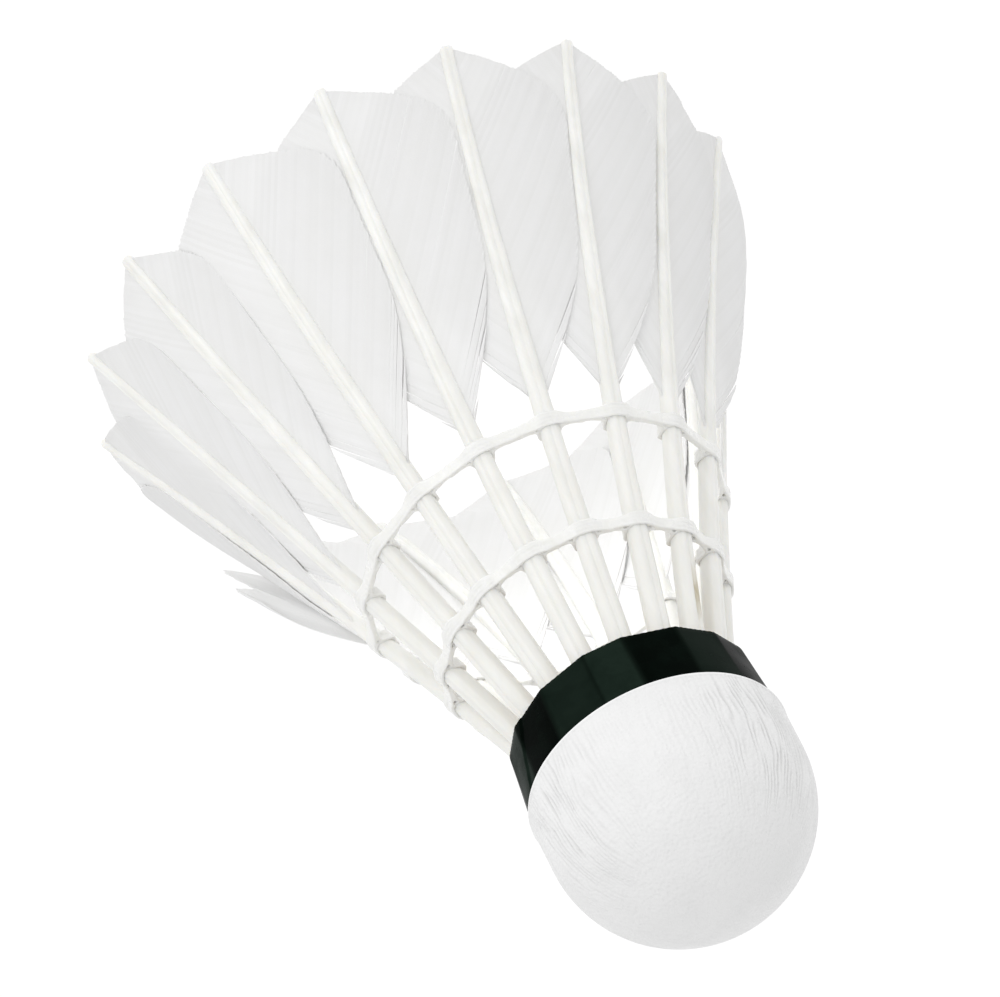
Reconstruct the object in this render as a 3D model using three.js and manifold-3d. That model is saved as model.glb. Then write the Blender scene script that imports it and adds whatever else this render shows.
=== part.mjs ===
// A feather shuttlecock: sixteen trimmed feathers set in a ring of holes in a leather-covered cork base,
// bound by two rows of thread. Millimetres, +Z up: it stands on its feather tips, with the cork on top.

import * as THREE from "three";
import { mergeVertices } from "three/addons/utils/BufferGeometryUtils.js";
import Module from "manifold-3d";

const wasm = await Module();
wasm.setup();

// ---------------------------------------------------------------- driving dimensions

const FEATHERS = 16;

// Skirt, measured over the outer faces of the shafts.
const TIP_CIRCLE_RADIUS = 33.65;
const SHAFT_BOW = 0.9; // how far the middle of a shaft bows in from a straight line
const SHAFT_SWEEP = 1.95; // how far a tip curves sideways from the line of its quill
const SWEEP_LENGTH = 47; // length, up from the tip, over which a shaft curves sideways

// Heights, as a chain from the tips up to the inner face of the cork.
const VANE_LENGTH = 34.2; // tip to the lowest barb
const VANE_TO_THREAD = 1.7; // lowest barb to the middle of the upper thread
const THREAD_SPACING = 10.7; // upper thread to lower thread
const THREAD_TO_CORK = 12.3; // lower thread to the cork's inner face

// Shafts. Width is measured round the skirt, depth towards its axis.
const TIP_WIDTH = 1.35;
const TIP_DEPTH = 1.0;
const QUILL_WIDTH = 2.5; // where the quill enters the cork
const QUILL_DEPTH = 2.2;
const QUILL_INSERTION = 10; // length of quill glued into the cork
const QUILL_END_DEPTH = 1.55; // at the quill's end in the cork

// Vanes.
const VANE_THICKNESS = 0.3;
const VANE_CLEARANCE = 0.35; // from a vane's edge to the side of the next shaft
const VANE_ROOT_GAP = 0.12; // from a vane's root to the side of its own shaft
const OUTER_VANE_LIFT = 0.6; // how far the outer vane rises from root to edge
const INNER_VANE_DROP = 0.85; // how far the inner vane sinks from root to edge
const VANE_SHOULDER = 8; // tip to where the trimmed corner is full width
const VANE_TAPER_START = 17; // tip to where the vane starts to narrow
const CUT_START = { height: 0.3, share: 0.06 }; // of the slanted cut at the tip, as a share of full width
const CUT_END = { height: 3.4, share: 0.68 };
const LOWEST_BARB_SHARE = 0.03; // width left at the lowest barb

// Thread lashings.
const THREAD_WIDTH = 1.3;
const THREAD_THICKNESS = 0.45; // of the layer that wraps each shaft
const STRAND_THICKNESS = 0.85; // of the joined strands between two shafts
const THREAD_CLEARANCE = 0.15;

// Base.
const BASE_RADIUS = 13.15; // over the leather
const BASE_STRAIGHT = 5.2; // bare straight side, from the tape to the start of the dome
const BASE_TAPER = 0.55; // how much smaller the base is at its inner face
const TAPE_WIDTH = 6.9;
const TAPE_THICKNESS = 0.25;
const TAPE_OVERHANG = 0.4; // past the cork's inner face
const LEATHER_THICKNESS = 0.55;
const LEATHER_STEP = 0.2; // how far the bare leather stands proud of the tape
const CORK_RIM = 0.76; // cork outside the quills, at the inner face
const GLUE_GAP = 0.12; // glue line between layers of the base
const CORK_JOINT = 0.3; // glue line between the two cork layers
const HOLE_CLEARANCE = 0.2; // all round a quill
const HOLE_WALL = 0.4; // cork between two holes, at their bottom
const HOLE_FLOOR = 1.4; // from a quill's end to the joint between the cork layers

// Fineness of the round shapes.
const LATHE_SEGMENTS = 32;
const DOME_STEPS = 6;
const CURVE_STEPS = 4; // in each curve of a vane's outline
const SHAFT_STEPS = 4; // along the stretch of a shaft that bears vanes

// ---------------------------------------------------------------- derived dimensions

const upperThreadHeight = VANE_LENGTH + VANE_TO_THREAD;
const lowerThreadHeight = upperThreadHeight + THREAD_SPACING;
const faceHeight = lowerThreadHeight + THREAD_TO_CORK;
const quillEndHeight = faceHeight + QUILL_INSERTION;
const corkJointHeight = quillEndHeight + HOLE_FLOOR;
const tapeStartHeight = faceHeight - TAPE_OVERHANG;
const tapeEndHeight = tapeStartHeight + TAPE_WIDTH;
const domeHeight = tapeEndHeight + BASE_STRAIGHT;

// Insets of each layer's outer surface from the outside of the leather.
const leatherUnderTape = LEATHER_STEP + TAPE_THICKNESS + GLUE_GAP;
const corkInset = leatherUnderTape + LEATHER_THICKNESS + GLUE_GAP;
const faceCircleRadius = BASE_RADIUS - BASE_TAPER - corkInset - CORK_RIM;

const pitchAngle = (2 * Math.PI) / FEATHERS;

/** Skirt radius over the outer faces of the shafts, at a height. */
function skirtRadius(height) {
  const share = height / faceHeight;
  const straight = THREE.MathUtils.lerp(TIP_CIRCLE_RADIUS, faceCircleRadius, share);
  return straight - 4 * SHAFT_BOW * share * (1 - share);
}

/** Sideways place of a shaft at a height, measured round the skirt from the plane of its tip. */
function shaftSweep(height) {
  const left = Math.max(0, 1 - height / SWEEP_LENGTH);
  return SHAFT_SWEEP * (1 - left * left);
}

/** A point on a feather: side runs round the skirt from the shaft, level runs outward from its outer face. */
function featherPoint(feather, height, side, level) {
  const radius = skirtRadius(height);
  const angle = feather * pitchAngle + (shaftSweep(height) + side) / radius;
  return new THREE.Vector3(
    (radius + level) * Math.cos(angle),
    (radius + level) * Math.sin(angle),
    height,
  );
}

/** Distance round the skirt from one shaft to the next, at a height and a level. */
function shaftPitch(height, level = 0) {
  return pitchAngle * (skirtRadius(height) + level);
}

const quillEndWidth = shaftPitch(quillEndHeight, -QUILL_DEPTH / 2) - HOLE_WALL - 2 * HOLE_CLEARANCE;

/** Width and depth of a shaft: it tapers to its tip, and to its end in the cork. */
function shaftSize(height) {
  if (height > faceHeight) {
    const share = (height - faceHeight) / QUILL_INSERTION;
    return {
      width: THREE.MathUtils.lerp(QUILL_WIDTH, quillEndWidth, share),
      depth: THREE.MathUtils.lerp(QUILL_DEPTH, QUILL_END_DEPTH, share),
    };
  }
  const share = height / faceHeight;
  return {
    width: THREE.MathUtils.lerp(TIP_WIDTH, QUILL_WIDTH, share),
    depth: THREE.MathUtils.lerp(TIP_DEPTH, QUILL_DEPTH, share),
  };
}

// ---------------------------------------------------------------- geometry helpers

/** Skins a row of rings that all have as many points. A looped row has no ends, and a plain one is capped. */
function loft(rings, looped = false) {
  const around = rings[0].length;
  const positions = rings.flat().flatMap((point) => point.toArray());
  const index = [];
  const spans = looped ? rings.length : rings.length - 1;
  for (let i = 0; i < spans; i += 1) {
    const next = (i + 1) % rings.length;
    for (let j = 0; j < around; j += 1) {
      const k = (j + 1) % around;
      const [a, b] = [i * around + j, i * around + k];
      const [c, d] = [next * around + j, next * around + k];
      index.push(a, b, d, a, d, c);
    }
  }
  if (!looped) {
    const last = (rings.length - 1) * around;
    for (let j = 1; j < around - 1; j += 1) {
      index.push(0, j + 1, j);
      index.push(last, last + j, last + j + 1);
    }
  }
  const geometry = new THREE.BufferGeometry();
  geometry.setAttribute("position", new THREE.Float32BufferAttribute(positions, 3));
  geometry.setIndex(index);
  return facingOut(geometry);
}

/** Turns every triangle of a closed surface round, if they face inwards. */
function facingOut(geometry) {
  const position = geometry.getAttribute("position");
  const index = geometry.index.array;
  const [a, b, c] = [new THREE.Vector3(), new THREE.Vector3(), new THREE.Vector3()];
  let volume = 0;
  for (let i = 0; i < index.length; i += 3) {
    a.fromBufferAttribute(position, index[i]);
    b.fromBufferAttribute(position, index[i + 1]);
    c.fromBufferAttribute(position, index[i + 2]);
    volume += a.dot(b.cross(c));
  }
  if (volume < 0) {
    for (let i = 0; i < index.length; i += 3) {
      [index[i + 1], index[i + 2]] = [index[i + 2], index[i + 1]];
    }
  }
  return geometry;
}

/** Turns a closed or axis-to-axis profile of [radius, height] pairs about the Z axis. */
function turned(profile) {
  const points = profile.map(([radius, height]) => new THREE.Vector2(radius, height));
  const geometry = new THREE.LatheGeometry(points, LATHE_SEGMENTS);
  geometry.rotateX(Math.PI / 2);
  geometry.deleteAttribute("normal");
  geometry.deleteAttribute("uv");
  return facingOut(mergeVertices(geometry, 1e-4));
}

/** A manifold-3d solid from a closed geometry. */
function solidFrom(geometry) {
  return new wasm.Manifold(
    new wasm.Mesh({
      numProp: 3,
      vertProperties: new Float32Array(geometry.getAttribute("position").array),
      triVerts: new Uint32Array(geometry.index.array),
    }),
  );
}

/** A closed geometry with cutters taken out of it. */
function cut(geometry, cutters) {
  let solid = solidFrom(geometry);
  for (const cutter of cutters) {
    solid = solid.subtract(solidFrom(cutter));
  }
  const mesh = solid.getMesh();
  const result = new THREE.BufferGeometry();
  result.setAttribute("position", new THREE.BufferAttribute(mesh.vertProperties, 3));
  result.setIndex(new THREE.BufferAttribute(mesh.triVerts, 1));
  return result;
}

// ---------------------------------------------------------------- feathers

/** The shaft of a feather through some heights, grown all round. Its section is a box with cut corners. */
function shaft(feather, heights, growth = 0) {
  const corners = [
    [0.5, 0.2],
    [0.28, 0.5],
    [-0.28, 0.5],
    [-0.5, 0.2],
    [-0.5, -0.2],
    [-0.28, -0.5],
    [0.28, -0.5],
    [0.5, -0.2],
  ];
  const rings = heights.map((height) => {
    const size = shaftSize(height);
    return corners.map(([across, out]) =>
      featherPoint(
        feather,
        height,
        across * (size.width + 2 * growth),
        out * (size.depth + 2 * growth) - size.depth / 2,
      ),
    );
  });
  return loft(rings);
}

/** A vane's outline as [height, share of full width]: a slanted cut, a full width and a long taper. */
function vaneOutline() {
  const slope = (CUT_END.share - CUT_START.share) / (CUT_END.height - CUT_START.height);
  const corner = CUT_END.height + (1 - CUT_END.share) / slope;
  const outline = new THREE.Path();
  outline.moveTo(CUT_START.height, CUT_START.share);
  outline.lineTo(CUT_END.height, CUT_END.share);
  outline.quadraticCurveTo(corner, 1, VANE_SHOULDER, 1);
  outline.lineTo(VANE_TAPER_START, 1);
  outline.quadraticCurveTo((VANE_TAPER_START + VANE_LENGTH) / 2, 1, VANE_LENGTH, LOWEST_BARB_SHARE);
  return outline.getPoints(CURVE_STEPS).map((point) => [point.x, point.y]);
}

/** One vane: direction +1 or -1 round the skirt, and how far its edge rises from its root. */
function vane(feather, direction, rise) {
  const rings = vaneOutline().map(([height, share]) => {
    const size = shaftSize(height);
    const root = size.width / 2 + VANE_ROOT_GAP;
    const reach = shaftPitch(height) - size.width / 2 - VANE_CLEARANCE;
    const middles = [0, 0.5, 1].map((across) => {
      const side = THREE.MathUtils.lerp(root, reach, across * share);
      return { side, level: (rise * side) / reach - size.depth / 2 };
    });
    const face = (half) =>
      middles.map(({ side, level }) => featherPoint(feather, height, direction * side, level + half));
    return [...face(VANE_THICKNESS / 2), ...face(-VANE_THICKNESS / 2).reverse()];
  });
  return loft(rings);
}

// ---------------------------------------------------------------- thread lashings

/** A ring of thread round every shaft at one height, closed up between the shafts. */
function lashing(height) {
  const { width, depth } = shaftSize(height);
  const wrap = THREAD_CLEARANCE + THREAD_THICKNESS;
  const eye = width / 2 + wrap;
  const fan = eye + STRAND_THICKNESS;
  const thick = { out: wrap, into: -depth - wrap };
  const thin = { out: (STRAND_THICKNESS - depth) / 2, into: (-STRAND_THICKNESS - depth) / 2 };
  const stations = [
    [-fan, thin],
    [-eye, thick],
    [eye, thick],
    [fan, thin],
    [shaftPitch(height) / 2, thin],
  ];
  const rings = [];
  for (let feather = 0; feather < FEATHERS; feather += 1) {
    for (const [side, { out, into }] of stations) {
      const low = height - THREAD_WIDTH / 2;
      const high = height + THREAD_WIDTH / 2;
      rings.push([
        featherPoint(feather, low, side, out),
        featherPoint(feather, high, side, out),
        featherPoint(feather, high, side, into),
        featherPoint(feather, low, side, into),
      ]);
    }
  }
  const eyes = [];
  for (let feather = 0; feather < FEATHERS; feather += 1) {
    eyes.push(shaft(feather, [height - THREAD_WIDTH, height + THREAD_WIDTH], THREAD_CLEARANCE));
  }
  return cut(loft(rings, true), eyes);
}

// ---------------------------------------------------------------- base

/** Points up one surface of the base, at an inset from the leather: tapered side, straight side, dome. */
function baseSurface(from, to, inset) {
  const radius = BASE_RADIUS - inset;
  const side = (height) => {
    const taper = Math.max(0, (tapeEndHeight - height) / (tapeEndHeight - faceHeight));
    return radius - BASE_TAPER * taper;
  };
  const heights = [from, tapeEndHeight, domeHeight];
  for (let step = 1; step <= DOME_STEPS; step += 1) {
    heights.push(domeHeight + radius * Math.sin((step / DOME_STEPS) * (Math.PI / 2)));
  }
  const kept = heights.filter((height) => height >= from && height < to - 0.01);
  return [...kept, to].map((height) => {
    const above = Math.max(0, height - domeHeight);
    const dome = Math.sqrt(Math.max(0, radius * radius - above * above));
    return [height > domeHeight ? dome : side(height), height];
  });
}

/** Height of the top of the dome at an inset. */
function domeTop(inset) {
  return domeHeight + BASE_RADIUS - inset;
}

/** The cork layer that the quills are glued into. */
function upperCork() {
  const outside = baseSurface(faceHeight, corkJointHeight, corkInset);
  const blank = turned([[0, faceHeight], ...outside, [0, corkJointHeight]]);
  const floor = quillEndHeight + HOLE_CLEARANCE;
  const holes = [];
  for (let feather = 0; feather < FEATHERS; feather += 1) {
    holes.push(shaft(feather, [faceHeight - 1, faceHeight, floor], HOLE_CLEARANCE));
  }
  return cut(blank, holes);
}

/** The rounded cork layer of the nose. */
function noseCork() {
  const start = corkJointHeight + CORK_JOINT;
  return turned([[0, start], ...baseSurface(start, domeTop(corkInset), corkInset)]);
}

/** The leather cover: bare over the nose, and set back where the tape goes over it. */
function leatherCover() {
  const innerInset = leatherUnderTape + LEATHER_THICKNESS;
  const bareStart = tapeEndHeight + GLUE_GAP;
  const inside = baseSurface(faceHeight, domeTop(innerInset), innerInset);
  const taped = baseSurface(faceHeight, bareStart, leatherUnderTape);
  const bare = baseSurface(bareStart, domeTop(0), 0);
  return turned([...inside.reverse(), ...taped, ...bare]);
}

/** The band of tape round the feather end of the base. */
function tapeBand() {
  const outside = baseSurface(tapeStartHeight, tapeEndHeight, LEATHER_STEP);
  const inside = baseSurface(tapeStartHeight, tapeEndHeight, LEATHER_STEP + TAPE_THICKNESS);
  return turned([...outside, ...inside.reverse(), outside[0]]);
}

// ---------------------------------------------------------------- materials and assembly

const finishes = {
  shaft: { color: 0xf0f1e4, roughness: 0.45, metalness: 0 },
  vane: { color: 0xf2f2ef, roughness: 0.75, metalness: 0 },
  thread: { color: 0xeeeee6, roughness: 0.4, metalness: 0 },
  cork: { color: 0xc79a66, roughness: 0.9, metalness: 0 },
  leather: { color: 0xf3f3f2, roughness: 0.55, metalness: 0 },
  tape: { color: 0x0b1712, roughness: 0.3, metalness: 0 },
};

/** A named mesh with a material of its own. */
function piece(name, finish, geometry) {
  const mesh = new THREE.Mesh(geometry, new THREE.MeshStandardMaterial(finishes[finish]));
  mesh.name = name;
  return mesh;
}

const shuttlecock = new THREE.Group();

const base = new THREE.Group();
base.add(
  piece("cork_upper", "cork", upperCork()),
  piece("cork_nose", "cork", noseCork()),
  piece("leather_cover", "leather", leatherCover()),
  piece("tape_band", "tape", tapeBand()),
);
shuttlecock.add(base);

const lashings = new THREE.Group();
lashings.add(
  piece("thread_upper", "thread", lashing(upperThreadHeight)),
  piece("thread_lower", "thread", lashing(lowerThreadHeight)),
);
shuttlecock.add(lashings);

const shaftHeights = [lowerThreadHeight, faceHeight, quillEndHeight];
for (let step = SHAFT_STEPS; step >= 0; step -= 1) {
  shaftHeights.unshift((VANE_LENGTH * step) / SHAFT_STEPS);
}
for (let feather = 0; feather < FEATHERS; feather += 1) {
  const number = String(feather + 1).padStart(2, "0");
  const group = new THREE.Group();
  group.add(
    piece(`feather_${number}_shaft`, "shaft", shaft(feather, shaftHeights)),
    piece(`feather_${number}_outer_vane`, "vane", vane(feather, -1, OUTER_VANE_LIFT)),
    piece(`feather_${number}_inner_vane`, "vane", vane(feather, 1, -INNER_VANE_DROP)),
  );
  shuttlecock.add(group);
}

export default shuttlecock;
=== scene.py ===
"""A feather shuttlecock, standing on its feather tips, made barb by barb and strand by strand."""

import math

import bmesh
import bpy
import numpy as np
from mathutils import Matrix, Quaternion, Vector, noise


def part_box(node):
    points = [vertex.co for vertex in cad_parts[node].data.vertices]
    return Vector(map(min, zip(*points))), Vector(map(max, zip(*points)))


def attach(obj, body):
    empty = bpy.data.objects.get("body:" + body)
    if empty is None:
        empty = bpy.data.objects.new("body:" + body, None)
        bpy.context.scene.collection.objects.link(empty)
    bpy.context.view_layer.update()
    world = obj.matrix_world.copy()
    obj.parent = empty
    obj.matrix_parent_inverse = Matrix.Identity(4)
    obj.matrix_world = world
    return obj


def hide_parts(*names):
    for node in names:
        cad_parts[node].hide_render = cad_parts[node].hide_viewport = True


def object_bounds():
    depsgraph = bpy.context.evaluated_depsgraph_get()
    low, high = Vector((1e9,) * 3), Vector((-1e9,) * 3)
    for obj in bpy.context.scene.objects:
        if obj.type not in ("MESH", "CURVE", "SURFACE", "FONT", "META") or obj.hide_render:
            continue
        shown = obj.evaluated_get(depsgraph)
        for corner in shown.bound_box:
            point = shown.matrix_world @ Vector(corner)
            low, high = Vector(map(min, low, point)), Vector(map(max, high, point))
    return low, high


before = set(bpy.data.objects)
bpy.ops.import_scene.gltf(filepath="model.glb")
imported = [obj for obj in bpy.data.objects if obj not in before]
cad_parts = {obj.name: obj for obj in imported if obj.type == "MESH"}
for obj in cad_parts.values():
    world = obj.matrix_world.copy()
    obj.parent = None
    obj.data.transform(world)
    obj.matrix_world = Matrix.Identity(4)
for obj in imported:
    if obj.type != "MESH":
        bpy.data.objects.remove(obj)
cad_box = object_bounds()

MM = 0.001
FEATHERS = 16
PITCH_ANGLE = 2 * math.pi / FEATHERS

# Vanes, in millimetres.
BARB_SPACING = 0.52  # between barb roots, along the shaft
BARB_SLANT = 1.16  # how far a barb runs towards the tip for each millimetre that it runs out
BARB_BOW = 0.018  # how much more it does so, for each millimetre out
BARB_RIDGE = 0.05
BARB_ROOT = 0.6  # where barbs leave a shaft, as a share of its half width
VANE_THICKNESS = 0.11
VANE_ROWS = 15  # points along a barb
EDGE_CLEARANCE = 0.18  # from a vane's edge to the side of the next shaft
VANE_SHOULDER = 8.0  # tip to where the trimmed corner is full width
VANE_TAPER_START = 17.0  # tip to where the vane starts to narrow
CUT_START = (0.15, 0.03)  # height and share of full width where the trimmed tip starts
CUT_END = (3.4, 0.68)
OUTER_RISE = 0.3  # how far an outer vane rises from root to edge
INNER_DROP = 0.5  # how far an inner vane sinks from root to edge
BUNCH_LENGTH = 13.5  # of the barbs in a stray bunch

# What sets some vanes apart: share of full width, how far they swell out of the skirt (or are pressed
# into it), whether the swell lifts the free edge too, and how far the loose barbs of the low end stand out.
# Feathers are counted from the first, and -1 is the outer vane, 1 the inner.
ODD_VANES = {
    (2, -1): (0.62, -0.28, True, 0.2),
    (3, -1): (0.68, -0.28, True, 0.2),
    (3, 1): (0.98, 0.15, False, 0.3),
    (4, -1): (0.85, -0.26, True, 0.2),
    (4, 1): (0.98, 1.1, False, 0.3),
    (5, -1): (0.98, 0.9, False, 0.3),
    (12, -1): (0.97, 2.1, True, 0.4),
    (11, 1): (0.97, 1.2, False, 0.4),
    (11, -1): (0.97, 0.9, True, 0.4),
}
STRAY_BUNCH = {5: -1}  # vanes with a bunch of long barbs that has sprung out of the skirt

STAINED_QUILLS = (13,)
STAIN_HEIGHT = 53.5
STAIN_SPREAD = 3.0

# Other pieces, in millimetres.
THREAD_RADIUS = 0.17
THREAD_VOXEL = 0.1
LEATHER_THICKNESS = 0.5
NOSE_PADDING = 0.55  # how much thicker the leather is over the nose than at its tucked edge
LIP_RADIUS = 0.16
PLEATS = 150  # round the leather
PLEAT_DEPTH = 0.22
PLEATED_SIDES = (  # place and spread round the base in degrees, and strength
    (-62, 34, 1.0),
    (54, 27, 0.9),
    (128, 24, 0.6),
    (-160, 26, 0.7),
)
TAPE_THICKNESS = 0.2
# Painted reflections on the tape's facets: how light each facet is painted, in turn round the tape, 0 the
# darkest.
FACET_REFLECTIONS = (0.75, 0.0, 0.9, 0.5, 0.0, 0.6, 0.05, 1.0)  # in turn round the tape, 0 the darkest

# ---------------------------------------------------------------- sizes read from the frame


def node_points(name):
    """A CAD node's vertices in millimetres."""
    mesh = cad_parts[name].data
    points = np.empty(len(mesh.vertices) * 3)
    mesh.vertices.foreach_get("co", points)
    return points.reshape(-1, 3) / MM


def shaft_stations(name):
    """Height, outer radius, sideways place, width and depth of a shaft at each of its CAD rings."""
    points = node_points(name)
    levels = sorted(set(np.round(points[:, 2], 2)))
    rows = []
    for level in levels:
        ring = points[np.abs(points[:, 2] - level) < 0.02]
        radius = np.hypot(ring[:, 0], ring[:, 1])
        angle = np.arctan2(ring[:, 1], ring[:, 0])
        middle = (angle.max() + angle.min()) / 2
        outer = radius.max()
        width = (angle.max() - angle.min()) * outer
        rows.append((level, outer, middle * outer, width, outer - radius.min()))
    return np.array(rows).T


def ring_radius(name, height):
    """Largest radius of a round CAD node's ring nearest a height."""
    points = node_points(name)
    nearest = np.abs(points[:, 2] - height).min()
    ring = points[np.abs(points[:, 2] - height) < nearest + 0.02]
    return float(np.hypot(ring[:, 0], ring[:, 1]).max())


stations = shaft_stations("feather_01_shaft")
quill_end = float(stations[0][-1])
face_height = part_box("cork_upper")[0].z / MM
vane_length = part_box("feather_01_outer_vane")[1].z / MM
thread_heights = {
    name: sum(corner.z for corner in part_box(name)) / 2 / MM for name in ("thread_upper", "thread_lower")
}
tape_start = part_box("tape_band")[0].z / MM
tape_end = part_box("tape_band")[1].z / MM
base_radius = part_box("leather_cover")[1].x / MM
nose_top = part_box("leather_cover")[1].z / MM
dome_height = nose_top - base_radius

open_stretch = stations[0] < face_height + 0.5
radius_curve = np.poly1d(np.polyfit(stations[0], stations[1], 2))
sweep_curve = np.poly1d(np.polyfit(stations[0][open_stretch], stations[2][open_stretch], 3))


def skirt_radius(height):
    return radius_curve(height)


def shaft_sweep(height):
    return sweep_curve(np.minimum(height, face_height))


def shaft_width(height):
    return np.interp(height, stations[0], stations[3])


def shaft_depth(height):
    return np.interp(height, stations[0], stations[4])


def shaft_pitch(height):
    return PITCH_ANGLE * skirt_radius(height)


def feather_point(feather, height, side, level):
    """Points on a feather: side runs round the skirt from the shaft, level outward from its outer face."""
    radius = skirt_radius(height)
    angle = feather * PITCH_ANGLE + (shaft_sweep(height) + side) / radius
    out = radius + level
    return np.stack(np.broadcast_arrays(out * np.cos(angle), out * np.sin(angle), height), axis=-1)


def round_row(radius, angles, height):
    """A row of points round the axis."""
    return np.stack([radius * np.cos(angles), radius * np.sin(angles), height + 0 * angles], axis=-1)


# ---------------------------------------------------------------- mesh helpers


def grid_quads(index, closed_rows=False, closed_columns=False):
    """Quads over a grid of vertex numbers."""
    down = np.roll(index, -1, axis=0) if closed_rows else index[1:]
    upper = index if closed_rows else index[:-1]
    if closed_columns:
        right_upper, right_down = np.roll(upper, -1, axis=1), np.roll(down, -1, axis=1)
        left_upper, left_down = upper, down
    else:
        right_upper, right_down = upper[:, 1:], down[:, 1:]
        left_upper, left_down = upper[:, :-1], down[:, :-1]
    return np.stack([left_upper, right_upper, right_down, left_down], axis=-1).reshape(-1, 4)


class Shell:
    """Collects closed surfaces for one piece, with a value or two kept at each vertex."""

    def __init__(self):
        self.points = []
        self.faces = []
        self.values = {}
        self.count = 0

    def add(self, points, faces, **values):
        points = np.asarray(points, float).reshape(-1, 3)
        self.points.append(points)
        self.faces.extend((np.asarray(group) + self.count).tolist() for group in faces)
        for name, value in values.items():
            self.values.setdefault(name, []).append(np.broadcast_to(value, (len(points),)).astype(np.float32))
        self.count += len(points)

    def add_sheet(self, front, back, **values):
        """A thin closed sheet between two grids of points."""
        rows, columns = front.shape[:2]
        top = np.arange(rows * columns).reshape(rows, columns)
        under = top + rows * columns
        edge = np.concatenate([top[0, :], top[1:, -1], top[-1, -2::-1], top[-2:0:-1, 0]])
        rim = np.stack([edge, np.roll(edge, -1)])
        rim_quads = grid_quads(np.stack([rim[0], rim[0] + rows * columns]), closed_columns=True)
        both = {name: np.tile(np.asarray(value).reshape(-1), 2) for name, value in values.items()}
        self.add(
            np.concatenate([front.reshape(-1, 3), back.reshape(-1, 3)]),
            [grid_quads(top), grid_quads(under)[:, ::-1], rim_quads[:, ::-1]],
            **both,
        )

    def add_loft(self, rings, **values):
        """A closed body through rings of points, with its ends capped."""
        rows, around = rings.shape[:2]
        index = np.arange(rows * around).reshape(rows, around)
        middles = np.array([rings[0].mean(axis=0), rings[-1].mean(axis=0)])
        first, last = rows * around, rows * around + 1
        start = [[first, b, a] for a, b in zip(index[0], np.roll(index[0], -1))]
        finish = [[last, a, b] for a, b in zip(index[-1], np.roll(index[-1], -1))]
        kept = {name: np.append(np.asarray(value).reshape(-1), [0, 0]) for name, value in values.items()}
        self.add(
            np.concatenate([rings.reshape(-1, 3), middles]),
            [grid_quads(index, closed_columns=True), np.array(start), np.array(finish)],
            **kept,
        )

    def add_loop(self, rings, **values):
        """A closed ring-shaped body through rings of points."""
        index = np.arange(rings.shape[0] * rings.shape[1]).reshape(rings.shape[:2])
        self.add(rings, [grid_quads(index, closed_rows=True, closed_columns=True)], **values)

    def build(self, name, sharp_angle=50.0):
        """The mesh object, in metres, with its faces pointing out."""
        points = np.concatenate(self.points) * MM
        faces = [face for group in self.faces for face in group]
        mesh = bpy.data.meshes.new(name)
        mesh.from_pydata(points.tolist(), [], faces)
        body = bmesh.new()
        body.from_mesh(mesh)
        bmesh.ops.recalc_face_normals(body, faces=body.faces)
        body.to_mesh(mesh)
        body.free()
        for label, parts in self.values.items():
            attribute = mesh.attributes.new(label, "FLOAT", "POINT")
            attribute.data.foreach_set("value", np.concatenate(parts))
        mesh.shade_smooth()
        mesh.set_sharp_from_angle(angle=math.radians(sharp_angle))
        piece = bpy.data.objects.new(name, mesh)
        bpy.context.scene.collection.objects.link(piece)
        return piece


def finish_piece(piece, material, slot, *nodes):
    """Gives a piece its finish and its place in the frame."""
    piece.data.materials.clear()
    piece.data.materials.append(material)
    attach(piece, "root")
    if nodes:
        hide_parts(*nodes)


def ripple(rng, waves, shortest, longest):
    """A smooth random wave along a length, from -1 to 1."""
    lengths = rng.uniform(shortest, longest, waves)
    phases = rng.uniform(0, 2 * math.pi, waves)

    def value(at):
        at = np.asarray(at, float)
        return sum(np.sin(2 * math.pi * at / w + p) for w, p in zip(lengths, phases)) / waves

    return value


# ---------------------------------------------------------------- vanes


def bezier(start, control, end, steps):
    """Points on a quadratic curve."""
    t = np.linspace(0, 1, steps)[:, None]
    start, control, end = np.array(start), np.array(control), np.array(end)
    return (1 - t) ** 2 * start + 2 * t * (1 - t) * control + t * t * end


def vane_outline():
    """Share of the full width against height: a slanted cut at the tip, a full width and a long taper."""
    slope = (CUT_END[1] - CUT_START[1]) / (CUT_END[0] - CUT_START[0])
    corner = (CUT_END[0] + (1 - CUT_END[1]) / slope, 1)
    shoulder = (VANE_SHOULDER, 1)
    taper_start = (VANE_TAPER_START, 1)
    taper_control = ((VANE_TAPER_START + vane_length) / 2, 1)
    points = np.concatenate(
        [
            [CUT_START],
            bezier(CUT_END, corner, shoulder, 12),
            bezier(taper_start, taper_control, (vane_length, 0.0), 30),
        ]
    )
    return points[:, 0], points[:, 1]


OUTLINE = vane_outline()


def vane_edge(height, width_share):
    """Distance from the shaft to the vane's edge, at a height."""
    reach = shaft_pitch(height) - shaft_width(height) / 2 - EDGE_CLEARANCE
    share = np.interp(height, OUTLINE[0], OUTLINE[1], left=0.0, right=0.0)
    return share * reach * width_share


def barb_lengths(roots, width_share):
    """How far out each barb reaches before it meets the vane's edge."""
    side = np.arange(0, 14, 0.02)
    run = BARB_SLANT * side + BARB_BOW * side * side
    heights = roots[:, None] - run[None, :]
    half = shaft_width(roots)[:, None] / 2
    inside = side[None, :] + half * BARB_ROOT < vane_edge(heights, width_share)
    stop = np.argmin(inside, axis=1)
    return side[stop]


def swell_profile(height):
    """How a vane's swell grows from its tip and dies away towards its low end."""
    return np.sin(math.pi * np.clip(height / vane_length, 0, 1) ** 0.62)


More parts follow.
